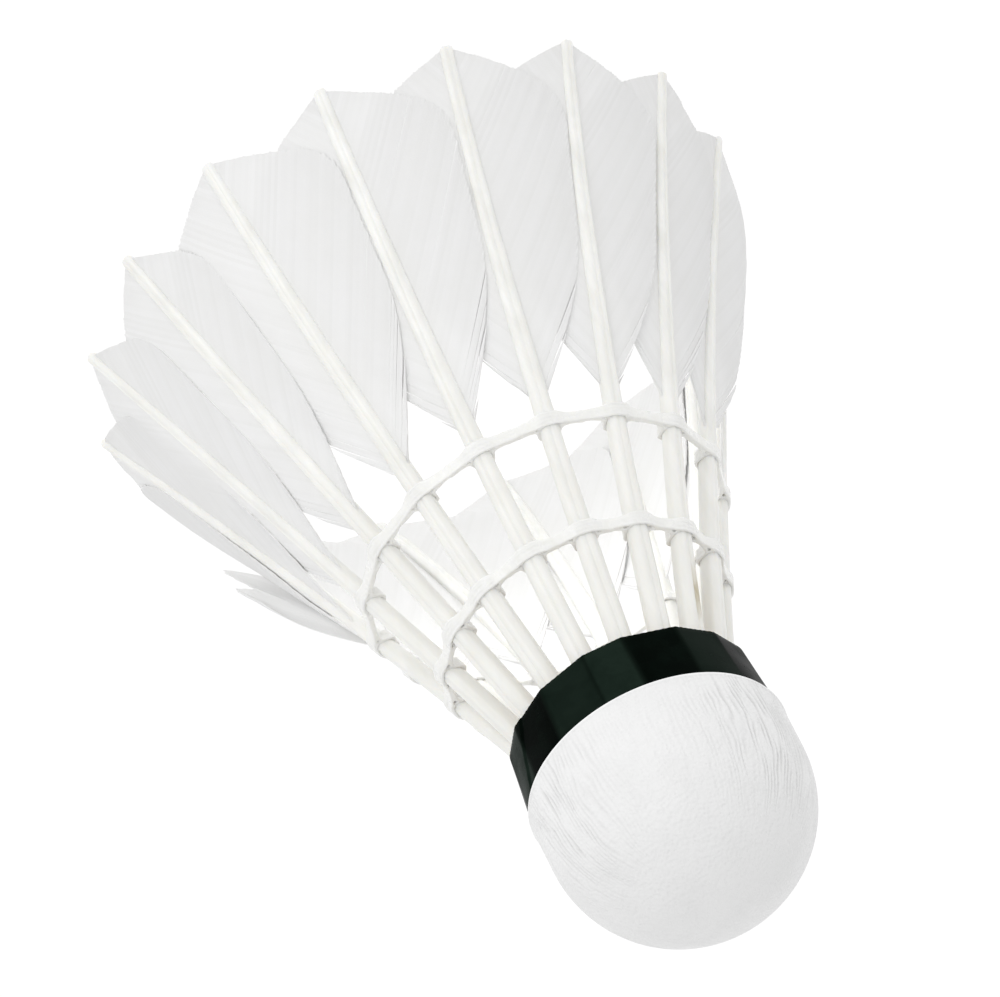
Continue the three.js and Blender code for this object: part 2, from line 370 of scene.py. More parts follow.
def vane(name, feather, direction, rise, seed):
    """One vane, barb by barb: ridged where barbs hook, split here and there, and loose at its low end."""
    rng = np.random.default_rng(seed)
    plain = (rng.uniform(0.95, 1.0), 0.0, True, 0.25)
    width_share, swell, edge_lifted, stray = ODD_VANES.get((feather, direction), plain)
    swell_turn = 1.9 if edge_lifted else math.pi
    columns = 2 * int((vane_length - 0.6) / BARB_SPACING) + 1
    roots = np.linspace(0.5, vane_length - 0.1, columns)
    lengths = barb_lengths(roots, width_share)
    crest = np.arange(columns) % 2
    lengths = lengths * (1 + 0.012 * crest * rng.uniform(-1, 1, columns))
    wave = ripple(rng, 3, 7, 19)
    flutter = ripple(rng, 3, 2.2, 5)
    lean = ripple(rng, 2, 12, 30)
    curl = rng.uniform(-0.15, 0.25)

    along = np.linspace(0, 1, VANE_ROWS)[:, None] ** 0.9
    low_end = np.clip((roots - (vane_length - 6)) / 6, 0, 1) ** 2

    def strands(first, last, slide, lift, gather):
        """The barbs between two columns, slid along the shaft, lifted and gathered towards their ends."""
        pick = slice(first, last + 1)
        root, length = roots[pick][None, :], lengths[pick][None, :]
        centre = roots[first : last + 1].mean()
        root_now = root + (centre - root) * gather * along
        side = length * along
        run = BARB_SLANT * side + BARB_BOW * side * side
        height = root_now - run + slide * along**2
        half = shaft_width(root) / 2
        out = side + half * BARB_ROOT
        reach = np.maximum(shaft_pitch(np.clip(height, 0, vane_length)), 1)
        share = out / reach
        level = rise * share - shaft_depth(root) * 0.45
        level = level + 0.1 * wave(root) * along + 0.03 * flutter(root) * along**2
        level = level + 0.04 * lean(side + root) + lift * along**1.5
        level = level + swell * np.sin(np.clip(share, 0, 1) * swell_turn) * swell_profile(height)
        level = level + curl * share**3 + 0.075 * low_end[pick][None, :] * along * np.sign(rise)
        ridge = BARB_RIDGE * crest[pick][None, :] * (0.6 + 0.9 * along * along)
        height = np.maximum(height, 0.02)
        front = feather_point(feather, height, direction * out, level + VANE_THICKNESS / 2 + ridge)
        back = feather_point(feather, height, direction * out, level - VANE_THICKNESS / 2 - ridge * 0.6)
        number = np.broadcast_to(np.arange(columns)[pick][None, :] / 2, height.shape)
        reach_along = np.broadcast_to(along, height.shape)
        shell.add_sheet(front, back, barb=number, along=reach_along)

    shell = Shell()
    loose = 2 * int(rng.integers(5, 9))
    hooked = columns - 1 - loose
    splits = sorted(2 * rng.integers(8, hooked // 2 - 3, rng.integers(0, 3)))
    borders = [0, *splits, hooked]
    for first, last in zip(borders, borders[1:]):
        if last > first:
            strands(first, last, rng.uniform(-0.06, 0.06), rng.uniform(-0.03, 0.03), 0.0)
    start = hooked
    while start < columns - 1:
        last = min(columns - 1, start + 2 * int(rng.integers(1, 3)))
        far = (last - hooked) / loose
        slide = rng.uniform(-0.1, 0.3) * far
        lift = rng.uniform(-0.2, 1.0) * stray * far
        strands(start, last, slide, lift, 0.3 * far)
        start = last
    if STRAY_BUNCH.get(feather) == direction:
        stray_bunch(shell, feather, direction, rng)
    return shell.build(name)


def stray_bunch(shell, feather, direction, rng):
    """A bunch of long barbs, hooked to each other, that stands out of the skirt and ends in two points."""
    along = np.linspace(0, 1, 24)[:, None]
    number = np.arange(21)[None, :]
    root = 24.5 + 0.3 * number
    notch = np.sin(math.pi * (number - 4) / 12) ** 2
    length = BUNCH_LENGTH + 0.1 - 2.6 * notch + 0.25 * (number % 2) - 0.12 * number
    height = root + (27.5 - root) * 0.5 * along - length * along
    out = shaft_width(root) * 0.35 + 2.6 * along**0.8 + 0.04 * (number - 10) * along
    level = -0.4 + 3.2 * (length * along / BUNCH_LENGTH) ** 1.2 + 0.04 * (number % 2)
    level = level + 0.06 * np.sin(number * 0.7 + rng.uniform(0, 6)) * along
    level = level + 0.15 * (number - 10) * np.sin(2.4 * along)
    out, height, level = np.broadcast_arrays(direction * out, height, level)
    front = feather_point(feather, height, out, level + VANE_THICKNESS / 2)
    back = feather_point(feather, height, out, level - VANE_THICKNESS / 2)
    barb = np.broadcast_to(number * 0.5, height.shape)
    shell.add_sheet(front, back, barb=barb, along=np.broadcast_to(along, height.shape))


# ---------------------------------------------------------------- shafts


# Half of a shaft's boxy section, as (across, out) from -1 to 1: grooved faces and cut corners.
HALF_SECTION = (
    (0.0, 0.9),
    (0.1, 0.97),
    (0.2, 1.0),
    (0.46, 0.98),
    (0.56, 0.93),
    (0.9, 0.56),
    (0.98, 0.4),
    (1.0, 0.1),
    (0.97, -0.35),
    (0.86, -0.68),
    (0.6, -0.93),
    (0.3, -1.0),
    (0.12, -0.9),
    (0.0, -0.84),
)


def shaft_section():
    """The half section and its mirror image."""
    half = list(HALF_SECTION)
    whole = half + [(-across, out) for across, out in reversed(half[1:-1])]
    return np.array(whole)[::-1].T


def round_section(points=24):
    """A plain rounded box, as (across, out) from -1 to 1."""
    angle = np.linspace(0, 2 * math.pi, points, endpoint=False) + 0.01
    power = 2 / 2.9
    across = np.sign(np.cos(angle)) * np.abs(np.cos(angle)) ** power
    out = np.sign(np.sin(angle)) * np.abs(np.sin(angle)) ** power
    return across, out


def shaft(name, feather, seed):
    """One shaft: a faint groove down its outer face, a deeper one down its inner face, a square tip."""
    rng = np.random.default_rng(seed)
    across, out = shaft_section()
    tip_rounding = np.array([0.0, 0.03, 0.1, 0.2])
    heights = np.concatenate([tip_rounding, np.linspace(0.6, quill_end, 90)])
    grain = ripple(rng, 4, 1.5, 9)
    drift = ripple(rng, 2, 20, 50)
    skew = ripple(rng, 2, 25, 60)
    rings = []
    for height in heights:
        width, depth = shaft_width(height), shaft_depth(height)
        worn = 1 - 0.16 * max(0, 1 - height / 0.2) ** 2
        x = (across + 0.12 * skew(height) * (1 - across * across)) * width / 2 * worn
        x = x * (1 + 0.015 * grain(height))
        level = (out * worn - 1) * depth / 2 + 0.03 * drift(height)
        rings.append(feather_point(feather, np.full(len(x), height), x, level))
    shell = Shell()
    rings = np.array(rings)
    place = np.broadcast_to(heights[:, None], rings.shape[:2])
    stain = np.exp(-(((place - STAIN_HEIGHT) / STAIN_SPREAD) ** 2))
    stain = stain * (across[None, :] < 0.1) * (feather in STAINED_QUILLS)
    shell.add_loft(rings, height=place, stain=stain)
    return shell.build(name, 60)


# ---------------------------------------------------------------- thread lashings


def tube_rings(path, radius, sides=8):
    """Rings of points round a closed path."""
    ahead = np.roll(path, -1, axis=0) - np.roll(path, 1, axis=0)
    ahead /= np.linalg.norm(ahead, axis=1)[:, None]
    up = np.array([0.0, 0.0, 1.0])
    sidewise = np.cross(ahead, up)
    sidewise /= np.linalg.norm(sidewise, axis=1)[:, None]
    normal = np.cross(sidewise, ahead)
    angle = np.linspace(0, 2 * math.pi, sides, endpoint=False)
    level = np.cos(angle)[None, :, None] * sidewise[:, None, :]
    upright = np.sin(angle)[None, :, None] * normal[:, None, :]
    return path[:, None, :] + radius * (level + upright)


def fuse(piece, voxel, smoothing):
    """Runs the strands of a piece together, as the glue that soaks them does. The voxel is in millimetres."""
    piece.data.transform(Matrix.Scale(1 / MM, 4))
    remesh = piece.modifiers.new("fuse", "REMESH")
    remesh.mode = "VOXEL"
    remesh.voxel_size = voxel
    remesh.use_smooth_shade = True
    smooth = piece.modifiers.new("smooth", "SMOOTH")
    smooth.factor = 0.5
    smooth.iterations = smoothing
    bpy.context.view_layer.update()
    fused = bpy.data.meshes.new_from_object(piece.evaluated_get(bpy.context.evaluated_depsgraph_get()))
    piece.modifiers.clear()
    piece.data = fused
    fused.transform(Matrix.Scale(MM, 4))
    fused.shade_smooth()
    return piece


def lashing(name, seed):
    """Strands laid flat outside and inside the shafts, run together by glue, with turns round each shaft."""
    rng = np.random.default_rng(seed)
    height = thread_heights[name]
    depth, width = float(shaft_depth(height)), float(shaft_width(height))
    pitch = float(shaft_pitch(height))
    shell = Shell()
    side = np.linspace(-0.5, 0.5, 48, endpoint=False) * pitch
    flare = 1 / (1 + (np.abs(side) / (width / 2 + 0.5)) ** 4)
    for strand, offset in enumerate((-0.36, -0.12, 0.12, 0.36)):
        for face, steepness in ((1, 4), (-1, 16)):
            path = []
            bulge = 1 / (1 + (np.abs(side) / (width / 2 + (0.3 if face > 0 else 0.1))) ** steepness)
            for feather in range(FEATHERS):
                sway = 0.05 * np.sin(2 * math.pi * side / pitch * (1 + strand % 2) + rng.uniform(0, 6))
                lift = offset * (1 + 0.5 * flare) + sway * (1 - flare) + rng.uniform(-0.04, 0.04) * flare
                rest = -0.3 * depth + 0.13 * face
                proud = -depth / 2 + face * (depth / 2 + 0.16)
                path.append(feather_point(feather, height + lift, side, rest + (proud - rest) * bulge))
            shell.add_loop(tube_rings(np.concatenate(path), THREAD_RADIUS))
    for feather in range(FEATHERS):
        turns(shell, feather, height, width, depth, rng)
    piece = shell.build(name + "_lashing")
    return fuse(piece, THREAD_VOXEL, 4)


def turns(shell, feather, height, width, depth, rng):
    """Turns of thread round one shaft, side by side."""
    across, out = round_section()
    for offset in (-0.4, -0.13, 0.13, 0.4):
        lift = offset + rng.uniform(-0.1, 0.1) * across
        level = out * (depth / 2 + 0.03) - depth / 2
        path = feather_point(feather, height + lift, across * (width / 2 + 0.02), level)
        shell.add_loop(tube_rings(path, THREAD_RADIUS + rng.uniform(-0.015, 0.015)))


def quill_glue(name):
    """A bead of glue round each quill where it enters the cork."""
    across, out = round_section()
    rng = np.random.default_rng(5)
    shell = Shell()
    for feather in range(FEATHERS):
        creep = rng.uniform(0.5, 1.1)
        profile = (
            (creep, 0.01),
            (creep * 0.6, 0.06),
            (creep * 0.25, 0.18),
            (0.05, 0.42),
            (-0.3, 0.3),
        )
        rings = []
        for down, growth in profile:
            height = np.full(len(across), face_height - down)
            half_width = shaft_width(height) / 2 + growth
            half_depth = shaft_depth(height) / 2 + growth
            level = out * half_depth - shaft_depth(height) / 2
            rings.append(feather_point(feather, height, across * half_width, level))
        shell.add_loft(np.array(rings))
    return shell.build(name)


# ---------------------------------------------------------------- base


def wrinkle(angle, climb):
    """How deep the leather's pleats are at a place, from 0 to 1. They run up from the tape to the nose."""
    strength = 0.07
    for place, spread, share in PLEATED_SIDES:
        apart = (math.degrees(angle) - place + 180) % 360 - 180
        strength += share * math.exp(-((apart / spread) ** 2))
    fade = min(1, 0.3 + climb / 4) * max(0, 1 - (climb / 17) ** 2)
    ring = Vector((math.cos(angle), math.sin(angle), 0))
    warp = 2.2 * noise.noise(ring * 4 + Vector((0, 0, climb * 0.12)))
    warp += 0.5 * noise.noise(ring * 16 + Vector((3, 0, climb * 0.4)))
    pleat = (0.5 - 0.5 * math.cos(angle * PLEATS + 2 * math.pi * warp)) ** 1.6
    patchy = min(1, max(0, 0.68 + 1.4 * noise.noise(ring * 15 + Vector((0, 7, climb * 0.35)))))
    return strength * fade * pleat * patchy


def leather(name):
    """The leather cover: tucked under the tape, a rounded cut lip, pleated shoulders and a smooth nose."""
    around = 860
    angles = np.linspace(0, 2 * math.pi, around, endpoint=False)
    under_tape = ring_radius("leather_cover", face_height)
    lip_start = tape_end + 0.05
    tucked = ring_radius("tape_band", tape_end) - 0.2
    rows = [(under_tape, face_height), (tucked, lip_start - 0.02)]
    for turn in np.linspace(0, math.pi / 2, 6):
        lip_radius = base_radius + 0.1 - LIP_RADIUS * (1 - math.sin(turn))
        rows.append((lip_radius, lip_start + LIP_RADIUS * (1 - math.cos(turn))))
    bare_from = len(rows)
    straight = np.linspace(lip_start + 2 * LIP_RADIUS, dome_height, 22)
    rows += [(base_radius, float(height)) for height in straight]
    turns = np.linspace(0, math.pi / 2, 80)[1:-1]
    rows += [(base_radius * math.cos(t), dome_height + base_radius * math.sin(t)) for t in turns]
    grid = []
    creases = []
    for number, (radius, height) in enumerate(rows):
        slope = max(0.0, (height - dome_height) / base_radius)
        climb = min(height, dome_height) - tape_end + base_radius * math.asin(slope)
        if number < bare_from:
            crease = np.zeros(around)
        else:
            crease = np.array([wrinkle(angle, climb) for angle in angles])
        sink = PLEAT_DEPTH * crease
        creases.append(crease)
        grid.append(round_row(radius - sink * math.sqrt(1 - slope * slope), angles, height - sink * slope))
    inner_radius = base_radius - NOSE_PADDING - LEATHER_THICKNESS
    for share in np.linspace(1, 0.12, 5):
        turn = min(share, 0.995) * math.pi / 2
        height = dome_height + inner_radius * math.sin(turn)
        grid.append(round_row(inner_radius * math.cos(turn), angles, height))
    grid.append(round_row(under_tape - LEATHER_THICKNESS, angles, face_height))
    rings = np.array(grid)
    count = rings.shape[0] * around
    index = np.arange(count).reshape(rings.shape[:2])
    outer_index, inner_index = index[: len(rows)], index[len(rows) :]
    top = [0, 0, rows[-1][1] + 0.001]
    cup = [0, 0, rings[len(rows), 0, 2]]
    faces = [
        grid_quads(outer_index, closed_columns=True),
        grid_quads(inner_index, closed_columns=True),
        grid_quads(np.stack([inner_index[-1], outer_index[0]]), closed_columns=True),
        np.array([[count, a, b] for a, b in zip(outer_index[-1], np.roll(outer_index[-1], -1))]),
        np.array([[count + 1, b, a] for a, b in zip(inner_index[0], np.roll(inner_index[0], -1))]),
    ]
    shell = Shell()
    # The lip is painted lighter than the rest of the leather.
    lighter_lip = np.zeros(rings.shape[:2])
    lighter_lip[2:bare_from] = 1
    creased = np.zeros(rings.shape[:2])
    creased[: len(rows)] = creases
    # The pleat depth is kept for the colour too, where it paints shade into the pleats.
    values = {"lighter_lip": np.append(lighter_lip, [0, 0]), "crease": np.append(creased, [0, 0])}
    shell.add(np.concatenate([rings.reshape(-1, 3), [top, cup]]), faces, **values)
    return shell.build(name, 70)


def tape(name):
    """The tape: creased flat between the quills, round where it meets the leather, its end lapped over."""
    rng = np.random.default_rng(11)
    around, rows = 480, 22
    angles = np.linspace(0, 2 * math.pi, around, endpoint=False)
    quill_angle = float(shaft_sweep(face_height)) / skirt_radius(face_height)
    corners = quill_angle + PITCH_ANGLE * np.arange(FEATHERS + 1)
    corners = corners + np.append(rng.uniform(-0.05, 0.05, FEATHERS), 0)
    corners[-1] = corners[0] + 2 * math.pi
    heave = np.append(rng.uniform(-0.07, 0.05, FEATHERS), 0)
    heave[-1] = heave[0]
    wide_top, wide_end = ring_radius("tape_band", tape_start), ring_radius("tape_band", tape_end)
    turned = (angles - corners[0]) % (2 * math.pi) + corners[0]
    facet = np.clip(np.searchsorted(corners, turned, side="right") - 1, 0, FEATHERS - 1)
    span = corners[facet + 1] - corners[facet]
    share = (turned - corners[facet]) / span
    start = np.stack([np.cos(corners[facet]), np.sin(corners[facet])], axis=-1)
    end = np.stack([np.cos(corners[facet + 1]), np.sin(corners[facet + 1])], axis=-1)
    start = start * (wide_top + heave[facet])[:, None]
    end = end * (wide_top + heave[facet + 1])[:, None]
    flat = np.hypot(*(start * (1 - share)[:, None] + end * share[:, None]).T)
    lap_angle = math.radians(57)
    front, back = [], []
    for row in np.linspace(0, 1, rows):
        height = tape_start + (tape_end - tape_start) * row
        taper = wide_top + (wide_end - wide_top) * row
        creased = flat + (taper - wide_top)
        mix = (1 - row) ** 0.8
        radius = creased * mix + taper * (1 - mix)
        lap = (angles - lap_angle - 0.22 * (row - 0.5)) % (2 * math.pi)
        radius = radius + 0.13 * np.clip(1 - lap / 0.9, 0, 1) * (lap < 0.9)
        edge = 0.05 * (np.exp(-(row / 0.03) ** 2) + np.exp(-(((1 - row) / 0.03) ** 2)))
        low = height + 0.0192 * np.exp(-(row / 0.25) ** 2) * np.sin(16 * math.pi * (share - 0.5))
        front.append(round_row(radius - edge, angles, low))
        back.append(round_row(radius - TAPE_THICKNESS, angles, low))
    rings = np.array(front + back[::-1])
    # Painted reflection: each facet is painted lighter or darker in turn, with a middle value at the creases.
    facet_reflection = np.tile(FACET_REFLECTIONS, FEATHERS // len(FACET_REFLECTIONS))
    edge_blend = np.clip(np.minimum(share, 1 - share) / 0.07, 0, 1)
    tone = facet_reflection[facet] * edge_blend + 0.4 * (1 - edge_blend)
    shell = Shell()
    shell.add_loop(rings, tone=np.broadcast_to(tone, rings.shape[:2]).reshape(-1))
    return shell.build(name, 35)


# ---------------------------------------------------------------- shader groups


def socket(group, name, kind, way, value=None):
    """A socket on a node group's face."""
    made = group.interface.new_socket(name=name, in_out=way, socket_type="NodeSocket" + kind)
    if value is not None:
        made.default_value = value


def new_group(name, inputs, outputs):
    """A shader node group with its input and output nodes."""
    group = bpy.data.node_groups.new(name, "ShaderNodeTree")
    for label, kind, value in inputs:
        socket(group, label, kind, "INPUT", value)
    for label, kind in outputs:
        socket(group, label, kind, "OUTPUT")
    return group, group.nodes.new("NodeGroupInput"), group.nodes.new("NodeGroupOutput")


def put(tree, kind, **settings):
    """A node with settings, and with links or values for its inputs."""
    node = tree.nodes.new("ShaderNode" + kind)
    inputs = settings.pop("inputs", {})
    for key, value in settings.items():
        setattr(node, key, value)
    for key, value in inputs.items():
        if isinstance(value, bpy.types.NodeSocket):
            tree.links.new(value, node.inputs[key])
        else:
            node.inputs[key].default_value = value
    return node


def blend_colours(tree, factor, first, second):
    """The colour output of a Mix node."""
    node = put(tree, "Mix", data_type="RGBA")
    for place, value in ((0, factor), (6, first), (7, second)):
        if isinstance(value, bpy.types.NodeSocket):
            tree.links.new(value, node.inputs[place])
        else:
            node.inputs[place].default_value = value
    return node.outputs[2]


def sums(tree, kind, first, second):
    """The output of a Math node."""
    return put(tree, "Math", operation=kind, inputs={0: first, 1: second}).outputs[0]


def ramp(tree, value, start, end, first=0.0, last=1.0):
    """A value that runs from first to last while another goes from start to end."""
    inputs = {"Value": value, "From Min": start, "From Max": end, "To Min": first, "To Max": last}
    return put(tree, "MapRange", inputs=inputs).outputs["Result"]


def kept_value(tree, name):
    """A value kept at the vertices of a piece."""
    return put(tree, "Attribute", attribute_name=name).outputs["Fac"]


def object_noise(tree, place, scale, detail=3.0, rough=0.55, stretch=None):
    """Noise in the part's own space, stretched if asked."""
    if stretch is not None:
        place = put(tree, "Mapping", inputs={"Vector": place, "Scale": stretch}).outputs["Vector"]
    inputs = {"Vector": place, "Scale": scale, "Detail": detail, "Roughness": rough}
    return put(tree, "TexNoise", inputs=inputs).outputs["Fac"]


def mottle_group():
    """Soft patches of a second colour, and a roughness that follows them."""
    group, given, result = new_group(
        "mottle",
        [
            ("Colour", "Color", (0.8, 0.8, 0.8, 1)),
            ("Patch Colour", "Color", (0.7, 0.7, 0.6, 1)),
            ("Patches", "Float", 0.4),
            ("Scale", "Float", 200.0),
            ("Roughness", "Float", 0.5),
        ],
        [("Colour", "Color"), ("Roughness", "Float")],
    )
    place = put(group, "TexCoord").outputs["Object"]
    broad = object_noise(group, place, given.outputs["Scale"], 4.0, 0.6)
    mask = ramp(group, broad, 0.42, 0.7)
    amount = sums(group, "MULTIPLY", mask, given.outputs["Patches"])
    colour = blend_colours(group, amount, given.outputs["Colour"], given.outputs["Patch Colour"])
    rougher = ramp(group, mask, 0.0, 1.0, -0.05, 0.07)
    rough = sums(group, "ADD", rougher, given.outputs["Roughness"])
    group.links.new(colour, result.inputs["Colour"])
    group.links.new(rough, result.inputs["Roughness"])
    return group


def grain_group():
    """A fine even grain as a height, from cells and noise."""
    group, given, result = new_group(
        "grain",
        [("Scale", "Float", 2500.0), ("Depth", "Float", 1.0)],
        [("Height", "Float")],
    )
    place = put(group, "TexCoord").outputs["Object"]
    inputs = {"Vector": place, "Scale": given.outputs["Scale"]}
    cells = put(group, "TexVoronoi", feature="SMOOTH_F1", inputs=inputs).outputs["Distance"]
    coarse = object_noise(group, place, sums(group, "MULTIPLY", given.outputs["Scale"], 0.35), 4.0)
    both = sums(group, "ADD", cells, coarse)
    group.links.new(sums(group, "MULTIPLY", both, given.outputs["Depth"]), result.inputs["Height"])
    return group


MOTTLE = mottle_group()
GRAIN = grain_group()


def grouped(tree, group, **values):
    """A group node in a material, with its values."""
    node = tree.nodes.new("ShaderNodeGroup")
    node.node_tree = group
    for key, value in values.items():
        label = key.replace("_", " ")
        if isinstance(value, bpy.types.NodeSocket):
            tree.links.new(value, node.inputs[label])
        else:
            node.inputs[label].default_value = value
    return node


def mottled(tree, shader, **values):
    """Feeds the shader's colour and roughness from the mottle group."""
    patches = grouped(tree, MOTTLE, **values)
    tree.links.new(patches.outputs["Colour"], shader.inputs["Base Color"])
    tree.links.new(patches.outputs["Roughness"], shader.inputs["Roughness"])


def new_material(name, **values):
    """A material with one Principled shader, its plain values set on its own sockets."""
    material = bpy.data.materials.new(name)
    material.use_nodes = True
    tree = material.node_tree
    shader = tree.nodes["Principled BSDF"]
    for label, value in values.items():
        shader.inputs[label.replace("_", " ")].default_value = value
    return material, tree, shader


def bumped(tree, shader, height, distance, strength):
    """Feeds a height to the shader's normal. The distance is in metres."""
    bump = put(tree, "Bump", inputs={"Strength": strength, "Distance": distance, "Height": height})
    tree.links.new(bump.outputs["Normal"], shader.inputs["Normal"])


# ---------------------------------------------------------------- materials


def vane_material():
    """White barbs, each a little lighter or darker than the next, that let some light through."""
    material, tree, shader = new_material(
        "white_barbs", IOR=1.45, Specular_IOR_Level=0.35, Sheen_Weight=0.12
    )
    barb = kept_value(tree, "barb")
    along = kept_value(tree, "along")
    whole = sums(tree, "FLOOR", barb, 0.0)
    streak = put(tree, "TexWhiteNoise", noise_dimensions="1D", inputs={"W": whole}).outputs["Value"]
    wide = put(tree, "TexNoise", noise_dimensions="1D", inputs={"W": barb, "Scale": 0.35, "Detail": 3.0})
    streaks = sums(tree, "MULTIPLY", streak, 0.8)
    bands = sums(tree, "MULTIPLY", wide.outputs["Fac"], 0.3)
    mask = ramp(tree, sums(tree, "ADD", streaks, bands), 0.1, 1.0)
    barbs = blend_colours(tree, mask, (0.96, 0.96, 0.96, 1), (0.915, 0.915, 0.91, 1))
    root = ramp(tree, along, 0.0, 0.22, 0.35, 0.0)
    rooted = blend_colours(tree, root, barbs, (0.89, 0.89, 0.86, 1))
    mottled(
        tree,
        shader,
        Colour=rooted,
        Patch_Colour=(0.90, 0.898, 0.885, 1),
        Patches=0.4,
        Scale=160.0,
        Roughness=0.6,
    )
    strand = sums(tree, "MULTIPLY", barb, 2.0)
    run = sums(tree, "MULTIPLY", along, 70.0)
    place = put(tree, "CombineXYZ", inputs={0: strand, 1: run}).outputs[0]
    hooks = put(tree, "TexNoise", noise_dimensions="2D", inputs={"Vector": place, "Scale": 1.0})
    bumped(tree, shader, hooks.outputs["Fac"], 0.00003, 0.5)
    through = put(tree, "BsdfTranslucent", inputs={"Color": (0.97, 0.97, 0.965, 1)})
    mix = put(tree, "MixShader", inputs={0: 0.14, 1: shader.outputs[0], 2: through.outputs[0]})
    tree.links.new(mix.outputs[0], tree.nodes["Material Output"].inputs["Surface"])
    return material


def shaft_material():
    """Ivory horn, faintly streaked along its length, with dull stains on the bare quill."""
    material, tree, shader = new_material(
        "ivory_horn",
        IOR=1.54,
        Specular_IOR_Level=0.5,
        Subsurface_Weight=0.25,
        Subsurface_Radius=(1.0, 0.9, 0.7),
        Subsurface_Scale=0.0008,
        Coat_Weight=0.1,
    )
    place = put(tree, "TexCoord").outputs["Object"]
    streak = object_noise(tree, place, 700.0, 4.0, 0.6, stretch=(1.0, 1.0, 0.06))
    crisp = ramp(tree, streak, 0.3, 0.7)
    pale = blend_colours(tree, crisp, (0.93, 0.93, 0.91, 1), (0.83, 0.83, 0.80, 1))
    quill = ramp(tree, kept_value(tree, "height"), 20.0, 50.0, 0.0, 0.5)
    horn = blend_colours(tree, quill, pale, (0.84, 0.838, 0.80, 1))
    patches = grouped(
        tree,
        MOTTLE,
        Colour=horn,
        Patch_Colour=(0.80, 0.785, 0.71, 1),
        Patches=0.15,
        Scale=330.0,
        Roughness=0.36,
    )
    blotch = sums(tree, "MULTIPLY", kept_value(tree, "stain"), crisp)
    stained = blend_colours(tree, blotch, patches.outputs["Colour"], (0.42, 0.34, 0.17, 1))
    tree.links.new(stained, shader.inputs["Base Color"])
    tree.links.new(patches.outputs["Roughness"], shader.inputs["Roughness"])
    bumped(tree, shader, streak, 0.00006, 0.5)
    return material


def thread_material():
    """White thread soaked in clear glue."""
    material, tree, shader = new_material(
        "glued_thread",
        IOR=1.47,
        Coat_Weight=0.35,
        Coat_Roughness=0.15,
        Subsurface_Weight=0.3,
        Subsurface_Radius=(1.0, 1.0, 0.9),
        Subsurface_Scale=0.0006,
    )
    mottled(
        tree,
        shader,
        Colour=(0.89, 0.89, 0.87, 1),
        Patch_Colour=(0.82, 0.82, 0.78, 1),
        Patches=0.5,
        Scale=900.0,
        Roughness=0.32,
    )
    grain = grouped(tree, GRAIN, Scale=2400.0, Depth=1.0)
    bumped(tree, shader, grain.outputs["Height"], 0.00005, 0.5)
    return material


def leather_material():
    """Thin white leather with a fine grain, painted darker in its pleats as shade."""
    material, tree, shader = new_material("white_leather", IOR=1.45, Specular_IOR_Level=0.4)
    crease = kept_value(tree, "crease")
    # Painted shade: the leather is painted darker where its pleats are deep.
    creased = blend_colours(tree, crease, (0.85, 0.85, 0.85, 1), (0.67, 0.67, 0.665, 1))
    mottled(
        tree,
        shader,
        # The lip rows are painted lighter than the rest of the leather.
        Colour=blend_colours(tree, kept_value(tree, "lighter_lip"), creased, (0.98, 0.98, 0.98, 1)),
        Patch_Colour=(0.80, 0.80, 0.80, 1),
        Patches=0.5,
        Scale=260.0,
        Roughness=0.5,
    )
    grain = grouped(tree, GRAIN, Scale=3200.0, Depth=1.0)
    bumped(tree, shader, grain.outputs["Height"], 0.00014, 0.6)
    return material


def tape_material():
    """Very dark green film, satin, with faint scuffs, and painted reflections that make some facets lighter
    than others.
    """
    material, tree, shader = new_material("green_film", IOR=1.12, Specular_IOR_Level=0.1)
    # The tone kept at the vertices is painted reflection: the lighter green paints light caught by a facet.
    tone = kept_value(tree, "tone")
    mottled(
        tree,
        shader,
        Colour=blend_colours(tree, tone, (0.0002, 0.0012, 0.0006, 1), (0.0105, 0.019, 0.014, 1)),
        Patch_Colour=(0.002, 0.0055, 0.0036, 1),
        Patches=0.5,
        Scale=420.0,
        Roughness=0.27,
    )
    place = put(tree, "TexCoord").outputs["Object"]
    bumped(tree, shader, object_noise(tree, place, 350.0, 3.0), 0.00008, 0.4)
    return material


def cork_material():
    """Cork: pale brown with darker pores."""
    material, tree, shader = new_material("cut_cork", Roughness=0.85, IOR=1.4)
    place = put(tree, "TexCoord").outputs["Object"]
    granules = put(tree, "TexVoronoi", inputs={"Vector": place, "Scale": 900.0})
    pores = object_noise(tree, place, 1600.0, 4.0, 0.65)
    distance = granules.outputs["Distance"]
    tone = blend_colours(tree, distance, (0.56, 0.35, 0.18, 1), (0.42, 0.25, 0.12, 1))
    colour = blend_colours(tree, ramp(tree, pores, 0.58, 0.68), tone, (0.16, 0.085, 0.04, 1))
    tree.links.new(colour, shader.inputs["Base Color"])
    bumped(tree, shader, pores, 0.00015, 0.6)
    return material


def floor_material():
    """A plain pale table that glows a little."""
    return new_material(
        "pale_table",
        Base_Color=(0.25, 0.25, 0.25, 1),
        Roughness=0.9,
        Specular_IOR_Level=0.1,
        Emission_Color=(1, 1, 1, 1),
        Emission_Strength=0.83,
    )[0]


# ---------------------------------------------------------------- the object

barbs = vane_material()
horn = shaft_material()
glue = thread_material()
hide = leather_material()
film = tape_material()
cork = cork_material()

for number in range(FEATHERS):
    label = f"feather_{number + 1:02d}"
    finish_piece(shaft(label + "_horn", number, 100 + number), horn, "shaft", label + "_shaft")
    outer = vane(label + "_outer_barbs", number, -1, OUTER_RISE, 200 + number)
    finish_piece(outer, barbs, "vane", label + "_outer_vane")
    inner = vane(label + "_inner_barbs", number, 1, -INNER_DROP, 300 + number)
    finish_piece(inner, barbs, "vane", label + "_inner_vane")

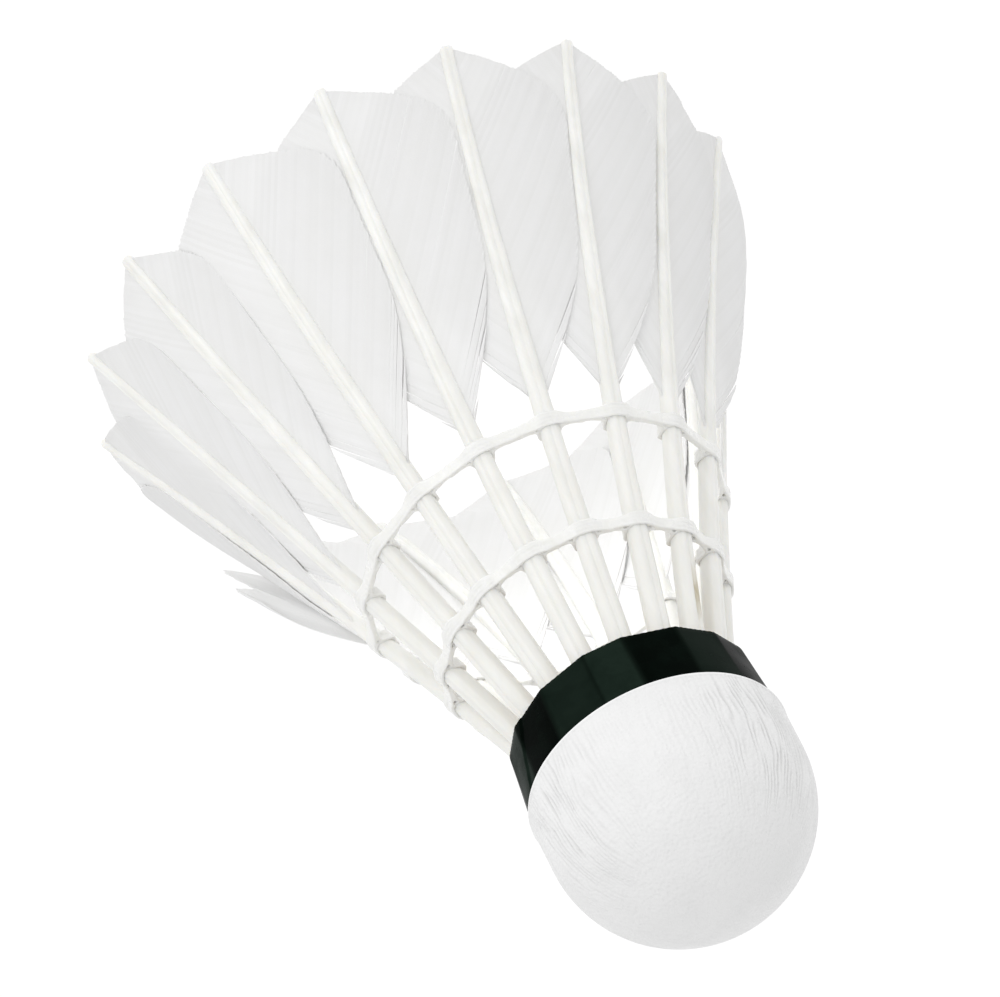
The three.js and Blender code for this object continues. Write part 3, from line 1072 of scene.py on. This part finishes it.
for number, node in enumerate(thread_heights):
    finish_piece(lashing(node, 400 + number), glue, "thread", node)
finish_piece(quill_glue("quill_glue"), glue, "thread")
finish_piece(leather("leather_nose"), hide, "leather", "leather_cover")
finish_piece(tape("green_tape"), film, "tape", "tape_band")
for node in ("cork_upper", "cork_nose"):
    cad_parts[node].data.materials.clear()
    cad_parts[node].data.materials.append(cork)

# ---------------------------------------------------------------- floor, light and camera


def area_light(name, place, aim, size, power):
    """A soft square lamp at a place, turned to an aim."""
    data = bpy.data.lights.new(name, "AREA")
    data.shape = "SQUARE"
    data.size = size
    data.energy = power
    lamp = bpy.data.objects.new(name, data)
    lamp.location = place
    lamp.rotation_euler = (Vector(aim) - Vector(place)).to_track_quat("-Z", "Y").to_euler()
    bpy.context.scene.collection.objects.link(lamp)
    return lamp


def pale_floor():
    """A wide plain floor under the feather tips."""
    mesh = bpy.data.meshes.new("pale_floor")
    half = 3.0
    low = cad_box[0][2] - 0.0002
    corners = [(-half, -half, low), (half, -half, low), (half, half, low), (-half, half, low)]
    mesh.from_pydata(corners, [], [(0, 1, 2, 3)])
    mesh.materials.append(floor_material())
    floor = bpy.data.objects.new("pale_floor", mesh)
    bpy.context.scene.collection.objects.link(floor)


def studio():
    """Soft light from the camera's side and from behind, a small lamp inside the skirt that the camera
    doesn't see, and a pale world.
    """
    middle = (0, 0, 0.04)
    area_light("key", (0.908, 0.330, 0.299), middle, 0.5, 1.6)
    area_light("back", (-0.95, 0.03, 0.35), middle, 0.6, 0.7)
    inner = area_light("table_glow", (0.006, 0, 0.026), (-0.03, 0, 0.012), 0.016, 0.0035)
    inner.visible_camera = False
    world = bpy.data.worlds.new("pale_world")
    world.use_nodes = True
    sky = world.node_tree.nodes["Background"]
    sky.inputs["Color"].default_value = (1, 1, 1, 1)
    sky.inputs["Strength"].default_value = 0.8
    bpy.context.scene.world = world
    bpy.context.scene.view_settings.view_transform = "Standard"


# Angles in degrees, places in metres, the lens in millimetres.
CAMERA_AZIMUTH = 1.4
CAMERA_ELEVATION = 38.15
CAMERA_DISTANCE = 1.3584
CAMERA_ROLL = 207.2
CAMERA_AIM = Vector((0.0181, 0.0020, 0.0420))
CAMERA_LENS = 518.9


def camera():
    """A long lens above the nose, rolled so that the nose points down to the right."""
    data = bpy.data.cameras.new("camera")
    data.sensor_width = 36
    data.lens = CAMERA_LENS
    data.clip_end = 20
    azimuth, elevation = math.radians(CAMERA_AZIMUTH), math.radians(CAMERA_ELEVATION)
    level = math.cos(elevation)
    away = Vector((level * math.cos(azimuth), level * math.sin(azimuth), math.sin(elevation)))
    view = bpy.data.objects.new("camera", data)
    view.rotation_mode = "QUATERNION"
    roll = Quaternion((0, 0, 1), -math.radians(CAMERA_ROLL))
    view.rotation_quaternion = (-away).to_track_quat("-Z", "Y") @ roll
    view.location = CAMERA_AIM + away * CAMERA_DISTANCE
    bpy.context.scene.collection.objects.link(view)
    bpy.context.scene.camera = view


pale_floor()
studio()
camera()
